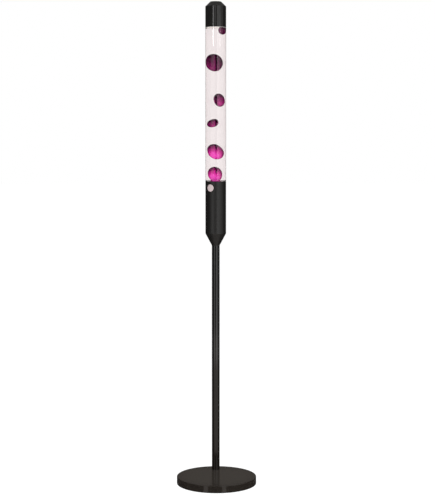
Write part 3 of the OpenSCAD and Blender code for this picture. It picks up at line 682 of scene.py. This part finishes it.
class LAMP_OT_bottle(bpy.types.Operator):
    """Blow the bottle, from its foot in the housing to its lip under the cap, and finish its crown"""

    bl_idname = "motion_lamp.bottle"
    bl_label = "Bottle and Crown"

    def execute(self, context):
        glass = context.scene.motion_lamp.glass
        heel, edge, dome, turn = 4 * MM, 1.2 * MM, 12 * MM, 60
        side = BODY_RADIUS - edge
        dome_level = COLLAR_LEVEL + 12 * MM
        slope = math.tan(math.radians(turn))

        def neck(wall):
            curve = arc(FOOT_RADIUS - dome, dome_level, dome - wall, 0, turn)
            radius, level = curve[-1]
            return curve + [(NECK_RADIUS - wall, level + (radius - NECK_RADIUS + wall) / slope)]

        outside = [
            (0, FOOT_LEVEL + 1.5 * MM), (FOOT_RADIUS - 2 * heel, FOOT_LEVEL),
            *arc(FOOT_RADIUS - heel, FOOT_LEVEL + heel, heel, -90, 0),
            (FOOT_RADIUS, SHOULDER_LEVEL - MM), (FOOT_RADIUS + MM, SHOULDER_LEVEL),
            *arc(side, SHOULDER_LEVEL + edge, edge, -90, 0),
            *arc(side, COLLAR_LEVEL - edge, edge, 0, 90),
            (FOOT_RADIUS, COLLAR_LEVEL), *neck(0),
            (NECK_RADIUS, LIP_LEVEL - 5 * MM), (LIP_RADIUS, LIP_LEVEL - 4 * MM), (LIP_RADIUS, LIP_LEVEL - MM),
            (LIP_RADIUS - MM, LIP_LEVEL), (NECK_RADIUS - GLASS_WALL, LIP_LEVEL)]
        dry = outside + neck(GLASS_WALL)[::-1] + [(FOOT_BORE, FILL_LEVEL + MENISCUS)]
        wet = [dry[-1], *bore_line(0)[::-1], (FOOT_BORE, FLOOR_LEVEL + MM), (FOOT_BORE - MM, FLOOR_LEVEL),
               (0, FLOOR_LEVEL)]
        # light bends less from glass to liquid than from glass to air, so the wet faces have their own glass
        piece = new_piece(
            "blown_bottle", lathe(dry, wet), drawn_glass("drawn_glass", glass, GLASS_IOR),
            drawn_glass("wetted_glass", glass, GLASS_IOR / LIQUID_IOR), location=POLE_AXIS)
        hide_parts("bottle")
        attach(piece, "bottle")
        give(grained("lacquered_tinplate", srgb("#b99a4b"), 0.26, 4.0 * MM, 0.02 * MM, 0.85, metallic=1.0),
             "crown_cap")
        give(grained("seal_liner", srgb("#d9d3c6"), 0.55, 1.0 * MM, 0.02 * MM, 0.95), "crown_seal")
        return {"FINISHED"}


class LAMP_OT_liquid(bpy.types.Operator):
    """Fill the bottle with clear liquid, from the glass floor to the surface under the cap"""

    bl_idname = "motion_lamp.liquid"
    bl_label = "Liquid"

    def execute(self, context):
        glass = context.scene.motion_lamp.glass
        # the liquid reaches a little into the glass, so no film of air shows between them
        overlap = 0.15 * MM
        foot = FOOT_BORE + overlap
        against_glass = [
            (0, FLOOR_LEVEL - overlap), (foot - MM, FLOOR_LEVEL - overlap),
            (foot, FLOOR_LEVEL + MM - overlap), *bore_line(overlap), (foot, FILL_LEVEL + MENISCUS)]
        surface = [
            against_glass[-1], (foot - 0.4 * MM, FILL_LEVEL + 0.45 * MENISCUS), (foot - 1.5 * MM, FILL_LEVEL),
            (0, FILL_LEVEL)]
        piece = new_piece(
            "liquid_fill", lathe(against_glass, surface), clear_brine("brine_against_glass", glass, 1.0),
            clear_brine("brine_surface", glass, LIQUID_IOR), location=POLE_AXIS)
        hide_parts("liquid")
        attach(piece, "bottle")
        return {"FINISHED"}


class LAMP_OT_wax(bpy.types.Operator):
    """Shape and colour the six pieces of drifting wax"""

    bl_idname = "motion_lamp.wax"
    bl_label = "Drifting Wax"

    # Each piece: how bright its painted light gets, its painted brightest spot, its taper, its lean, and its
    # bulges.
    FORMS = (
        (0.36, (0.50, 0.05, 0.3), 0.05, 0.0, ()),
        (0.48, (0.15, 0.22, 0.2), 0.03, -8.0,
         (((1, -0.3, 0.1), 0.6 * MM, 0.7), ((-1, -0.2, -0.3), -0.4 * MM, 0.8))),
        (0.62, (0.75, 0.10, 0.25), 0.04, -7.0, (((0.8, -0.2, -0.8), 0.6 * MM, 0.6),)),
        (0.56, (0.40, 0.10, 0.2), 0.06, -37.0, (((0.9, -0.2, 0.5), 0.5 * MM, 0.5),)),
        (1.12, (0.36, 0.10, 0.23), -0.04, -21.0, (((-0.7, -0.3, 0.6), 0.6 * MM, 0.7),)),
        (1.20, (0.36, 0.12, 0.26), 0.10, -6.0, (((-0.9, -0.2, 0.2), 0.6 * MM, 0.6),)),
    )

    def execute(self, context):
        wax = context.scene.motion_lamp.wax
        for number, (reach, spot, taper, lean, bulges) in enumerate(self.FORMS, 1):
            node = f"wax_blob_{number}"
            low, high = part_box(node)
            lean = math.radians(lean)
            # the node's depth is the wax's true width, and with the lean it gives the true height
            width, tall = high.y - low.y, high.z - low.z
            height = math.sqrt(max(tall ** 2 - (width * math.sin(lean)) ** 2, 0.0)) / math.cos(lean)
            shape = wax_shape(width, height, taper, lean, bulges, number)
            material = wax_with_painted_light(f"paraffin_wax_{number}", wax, reach, spot, (low.x + high.x) / 2 - POLE_AXIS.x)
            piece = new_piece(f"wax_{number}_form", shape, material, location=(low + high) / 2)
            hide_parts(node)
            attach(piece, f"wax_{number}")
        return {"FINISHED"}


class LAMP_OT_pool(bpy.types.Operator):
    """Colour the wax pool on the glass floor and finish the coil in it"""

    bl_idname = "motion_lamp.pool"
    bl_label = "Wax Pool and Coil"

    def execute(self, context):
        wax = context.scene.motion_lamp.wax
        # the pool gets the same painted light and painted glow, brightest low in its middle
        give(wax_with_painted_light("paraffin_wax_pool", wax, 1.0, (0.5, 0.5, 0.0), 0.0), "wax_pool")
        give(grained("coiled_steel_wire", srgb("#b9bbbd"), 0.3, 1.5 * MM, 0.01 * MM, 0.8, metallic=1.0),
             "coil")
        return {"FINISHED"}


class LAMP_OT_disc(bpy.types.Operator):
    """Fix the plain pale disc to the housing, bent to its round"""

    bl_idname = "motion_lamp.disc"
    bl_label = "Pale Disc"

    def execute(self, context):
        disc = context.scene.motion_lamp.disc
        edge = disc.diameter / 2
        field = edge - disc.border
        back, front = 0.02 * MM, disc.thickness
        sunk = front - 0.25 * MM
        # radius and stand-off of each ring, from the back round the edge to the front
        rings = [
            (field * 0.4, back), (field * 0.8, back), (edge - 0.2 * MM, back), (edge, 0.3 * MM),
            (edge - 0.1 * MM, front - 0.15 * MM), (edge - 0.4 * MM, front), (field + 0.3 * MM, front),
            (field, sunk), (field * 0.66, sunk), (field * 0.33, sunk)]
        sides = 96
        shape = bmesh.new()

        def on_housing(radius, angle, stand_off):
            turn = disc.turn + radius * math.cos(angle) / BODY_RADIUS
            distance = BODY_RADIUS + stand_off
            height = radius * math.sin(angle)
            return shape.verts.new((distance * math.sin(turn), -distance * math.cos(turn), height))

        loops = [[on_housing(radius, math.tau * i / sides, off) for i in range(sides)]
                 for radius, off in rings]
        for inner, outer in zip(loops, loops[1:]):
            for i in range(sides):
                j = (i + 1) % sides
                shape.faces.new((inner[i], inner[j], outer[j], outer[i]))
        for loop, off in ((loops[0], back), (loops[-1], sunk)):
            middle = on_housing(0, 0, off)
            for i in range(sides):
                shape.faces.new((loop[i], loop[(i + 1) % sides], middle))
        bmesh.ops.recalc_face_normals(shape, faces=shape.faces)
        # vitreous enamel fired on copper: pale, smooth and a little cloudy
        material = grained("fired_enamel", disc.field, 0.30, 3.0 * MM, 0.02 * MM, 0.9)
        middle = POLE_AXIS + Vector((0, 0, RIM_HEIGHT - disc.drop))
        piece = new_piece("pale_disc", shape, material, location=middle)
        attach(piece, "stand")
        return {"FINISHED"}


def seen_white(tree):
    """1 where the ray comes from the camera, from gloss or through glass."""
    path = add_node(tree, "ShaderNodeLightPath")
    gloss = add_node(tree, "ShaderNodeMath", {
        0: path.outputs["Is Camera Ray"], 1: path.outputs["Is Glossy Ray"]}, operation="MAXIMUM")
    glass = add_node(tree, "ShaderNodeMath", {
        0: gloss.outputs["Value"], 1: path.outputs["Is Transmission Ray"]}, operation="MAXIMUM")
    return glass.outputs["Value"]


def point_round(middle, turn, distance, height):
    """A point at an angle, in degrees from the front to the right, and a distance round a middle."""
    turn = math.radians(turn)
    return middle + Vector((distance * math.sin(turn), -distance * math.cos(turn), height))


def row_round(middle, first, last, steps, distance, height):
    """Points at even angles, from first to last in degrees, at a distance round a middle."""
    return [point_round(middle, first + (last - first) * i / steps, distance, height)
            for i in range(steps + 1)]


class LAMP_OT_studio(bpy.types.Operator):
    """Build the pale floor, the white surroundings, the lamps and the cards that only gloss shows"""

    bl_idname = "motion_lamp.studio"
    bl_label = "Studio"

    LAMP_DISTANCE = 1.7
    TOP_LAMP, TOP_LAMP_RADIUS = Vector((0, 0, 2.9)), 0.7
    FOOT_LAMP, FOOT_LAMP_SPILL = Vector((0, -0.3, 2.6)), 4 * MM
    CARD_DISTANCE = 3.2
    CARD_FOOT, CARD_HEIGHT = -0.02, 3.4
    LOW_LAYER, HIGH_LAYER = 1 * MM, 2 * MM
    # The strength of the floor's own white, and its share in what camera, gloss and glass see of the floor.
    FLOOR_WHITE, FLOOR_SHARE = 1.22, 0.75
    # Each softbox: its angle and breadth in degrees, its lower and upper edge, and its share of the level.
    SOFTBOXES = (
        ("left_main", -32, 20, 0.1, 0.93, 0.72), ("left_upper", -32, 20, 0.93, 1.5, 0.42),
        ("left_side", -51, 18, 0.1, 1.5, 0.36), ("left_inner", -16, 12, 1.0, 1.5, 0.4),
        ("left_glass", -29, 7, 1.52, 1.61, 6.0), ("left_cap", -29, 6, 1.61, 2.0, 3.5),
        ("middle_high", -7, 10, 1.6, 2.1, 0.85), ("right_glass", 47, 12, 1.52, 1.62, 1.2),
        ("right_main", 17, 18, 0.1, 0.93, 0.95), ("right_upper", 20, 14, 0.93, 2.1, 0.88),
        ("right_middle", 39, 26, 0.1, 2.1, 0.58), ("right_side", 67, 30, 0.1, 2.1, 0.28))
    # Each upright card: its name, its colour's setting, and the angles in degrees that it stands between.
    WALLS = (
        ("front_card", "front_card", -67, 63), ("side_card_right", "side_card", 63, 148),
        ("back_card", "back_card", 148, 208), ("side_card_left", "side_card", 208, 293))
    # Each flat card: its name and its setting's, its inner radius, its height, and its two angles.
    RINGS = (
        ("top_card", 0.01, CARD_HEIGHT, -180, 180), ("floor_card", 0.127, LOW_LAYER, -180, 180),
        ("floor_patch", 0.26, HIGH_LAYER, -60, 75))
    # The corners, in metres, of two pale stripes on the dark floor card.
    STRIPES = (
        ((-0.0440, -0.1202), (-0.0312, -0.1241), (-0.0709, -0.2027), (-0.0994, -0.1888)),
        ((0.0140, -0.1272), (0.0270, -0.1251), (0.0663, -0.2039), (0.0360, -0.2125)))

    def execute(self, context):
        studio = context.scene.motion_lamp.studio
        context.scene.view_settings.view_transform = "Standard"
        self.add_floor(studio)
        self.add_world(context.scene, studio)
        for name, turn, breadth, low, high, share in self.SOFTBOXES:
            self.add_lamp("softbox_" + name, turn, breadth, low, high, studio.softbox * share)
        self.add_top_lamp(studio)
        self.add_foot_lamp(studio)
        for name, setting, first, last in self.WALLS:
            self.add_wall(name, first, last, getattr(studio, setting))
        for name, inner, height, first, last in self.RINGS:
            self.add_ring(name, inner, height, first, last, getattr(studio, name))
        for number, corners in enumerate(self.STRIPES, 1):
            shape = bmesh.new()
            shape.faces.new([shape.verts.new((x, y, self.HIGH_LAYER)) for x, y in corners])
            self.add_card(f"floor_stripe_{number}", shape, studio.floor_stripe)
        return {"FINISHED"}

    def add_floor(self, studio):
        """A pale floor that takes the shadow, and is white where camera, gloss or glass sees it lit."""
        material, tree = new_material("pale_floor")
        matt = add_node(tree, "ShaderNodeBsdfPrincipled", {
            "Base Color": rgba(studio.floor), "Roughness": 0.9})
        white = add_node(tree, "ShaderNodeEmission", {"Strength": self.FLOOR_WHITE})
        share = add_node(tree, "ShaderNodeMath", {
            0: seen_white(tree), 1: self.FLOOR_SHARE}, operation="MULTIPLY")
        mix = add_node(tree, "ShaderNodeMixShader", {
            0: share.outputs["Value"], 1: matt.outputs["BSDF"], 2: white.outputs["Emission"]})
        add_node(tree, "ShaderNodeOutputMaterial", {"Surface": mix.outputs["Shader"]})
        shape = bmesh.new()
        bmesh.ops.create_grid(shape, x_segments=8, y_segments=8, size=40)
        new_piece("floor", shape, material)

    def add_world(self, scene, studio):
        """Even light from all round, white where camera, gloss or glass sees it."""
        world = bpy.data.worlds.new("studio")
        world.use_nodes = True
        tree = world.node_tree
        tree.nodes.clear()
        strength = add_node(tree, "ShaderNodeMapRange", {
            "Value": seen_white(tree), "To Min": studio.fill, "To Max": 1.0})
        background = add_node(tree, "ShaderNodeBackground", {
            "Color": (1, 1, 1, 1), "Strength": strength.outputs["Result"]})
        add_node(tree, "ShaderNodeOutputWorld", {"Surface": background.outputs["Background"]})
        scene.world = world

    def add_lamp(self, name, turn, breadth, low, high, radiance):
        """A soft upright lamp that faces the pole's axis, breadth degrees wide with its middle at turn."""
        width = 2 * self.LAMP_DISTANCE * math.tan(math.radians(breadth / 2))
        data = bpy.data.lights.new(name, "AREA")
        data.shape = "RECTANGLE"
        data.size = width
        data.size_y = high - low
        data.energy = 4 * radiance * width * (high - low)
        place = point_round(POLE_AXIS, turn, self.LAMP_DISTANCE, (low + high) / 2)
        inward = POLE_AXIS + Vector((0, 0, (low + high) / 2)) - place
        self.hang(data, place, inward.to_track_quat("-Z", "Y"), glossy=True)

    def add_top_lamp(self, studio):
        """A soft lamp over the set."""
        data = bpy.data.lights.new("top_lamp", "AREA")
        data.shape = "DISK"
        data.size = 2 * self.TOP_LAMP_RADIUS
        data.energy = math.pi * studio.top * math.pi * self.TOP_LAMP_RADIUS ** 2
        self.hang(data, self.TOP_LAMP, Quaternion(), glossy=False)

    def add_foot_lamp(self, studio):
        """A narrow lamp high in front of the set, for the foot's top alone."""
        distance = self.FOOT_LAMP.length
        data = bpy.data.lights.new("foot_lamp", "SPOT")
        data.spot_size = 2 * math.atan((radius_of("base_cover") + self.FOOT_LAMP_SPILL) / distance)
        data.spot_blend = 0.05
        data.color = (0.8, 0.95, 1.0)
        data.shadow_soft_size = 0.05
        data.energy = 4 * math.pi * studio.foot_lamp * distance ** 2
        self.hang(data, self.FOOT_LAMP, self.FOOT_LAMP.to_track_quat("Z", "Y"), glossy=False)

    def hang(self, data, place, turn, glossy):
        """Hangs a lamp that camera and glass don't show, and that gloss shows only where glossy says so."""
        lamp = bpy.data.objects.new(data.name, data)
        lamp.location = place
        lamp.rotation_euler = turn.to_euler()
        lamp.visible_camera = False
        lamp.visible_glossy = glossy
        lamp.visible_transmission = False
        bpy.context.scene.collection.objects.link(lamp)

    def add_wall(self, name, first, last, colour):
        """A card that stands round the set from one angle to another."""
        steps = 16
        feet, tops = [row_round(POLE_AXIS, first, last, steps, self.CARD_DISTANCE, height)
                      for height in (self.CARD_FOOT, self.CARD_HEIGHT)]
        self.add_band(name, feet, tops, colour)

    def add_ring(self, name, inner, height, first, last, colour):
        """A flat card round the foot's middle, from one angle to another."""
        steps = 60
        near, far = [row_round(FOOT_MIDDLE, first, last, steps, distance, height)
                     for distance in (inner, self.CARD_DISTANCE)]
        self.add_band(name, near, far, colour)

    def add_band(self, name, near, far, colour):
        """A card between two rows of points."""
        shape = bmesh.new()
        near, far = [[shape.verts.new(point) for point in row] for row in (near, far)]
        for i in range(len(near) - 1):
            shape.faces.new((near[i], near[i + 1], far[i + 1], far[i]))
        self.add_card(name, shape, colour)

    def add_card(self, name, shape, colour):
        """A plain card of this colour that only gloss shows."""
        material, tree = new_material(name)
        plain = add_node(tree, "ShaderNodeEmission", {"Color": rgba(colour), "Strength": 1.0})
        add_node(tree, "ShaderNodeOutputMaterial", {"Surface": plain.outputs["Emission"]})
        piece = new_piece(name, shape, material)
        piece.visible_camera = False
        piece.visible_diffuse = False
        piece.visible_transmission = False
        piece.visible_volume_scatter = False
        piece.visible_shadow = False


# Panel and registration

OPERATORS = (
    LAMP_OT_camera, LAMP_OT_enamel, LAMP_OT_foot_inside, LAMP_OT_seat, LAMP_OT_holder, LAMP_OT_bulb,
    LAMP_OT_bottle, LAMP_OT_liquid, LAMP_OT_wax, LAMP_OT_pool, LAMP_OT_disc, LAMP_OT_studio)


class LAMP_PT_panel(bpy.types.Panel):
    """Lists the lamp's operators and settings"""

    bl_label = "Motion Lamp"
    bl_idname = "LAMP_PT_panel"
    bl_space_type = "VIEW_3D"
    bl_region_type = "UI"
    bl_category = "Motion Lamp"

    def draw(self, context):
        for operator in OPERATORS:
            self.layout.operator(operator.bl_idname)
        settings = context.scene.motion_lamp
        for group in (settings.enamel, settings.glass, settings.wax, settings.disc, settings.studio):
            box = self.layout.box()
            for name in group.__annotations__:
                box.prop(group, name)


CLASSES = (EnamelSettings, GlassSettings, WaxSettings, DiscSettings, StudioSettings, LampSettings,
           *OPERATORS, LAMP_PT_panel)


def register():
    for entry in CLASSES:
        bpy.utils.register_class(entry)
    bpy.types.Scene.motion_lamp = PointerProperty(type=LampSettings)


def unregister():
    del bpy.types.Scene.motion_lamp
    for entry in reversed(CLASSES):
        bpy.utils.unregister_class(entry)


def main():
    """Registers the settings, operators and panel, and runs each operator to dress the lamp."""
    register()
    for operator in OPERATORS:
        group, name = operator.bl_idname.split(".")
        getattr(getattr(bpy.ops, group), name)()


if __name__ == "__main__":
    main()
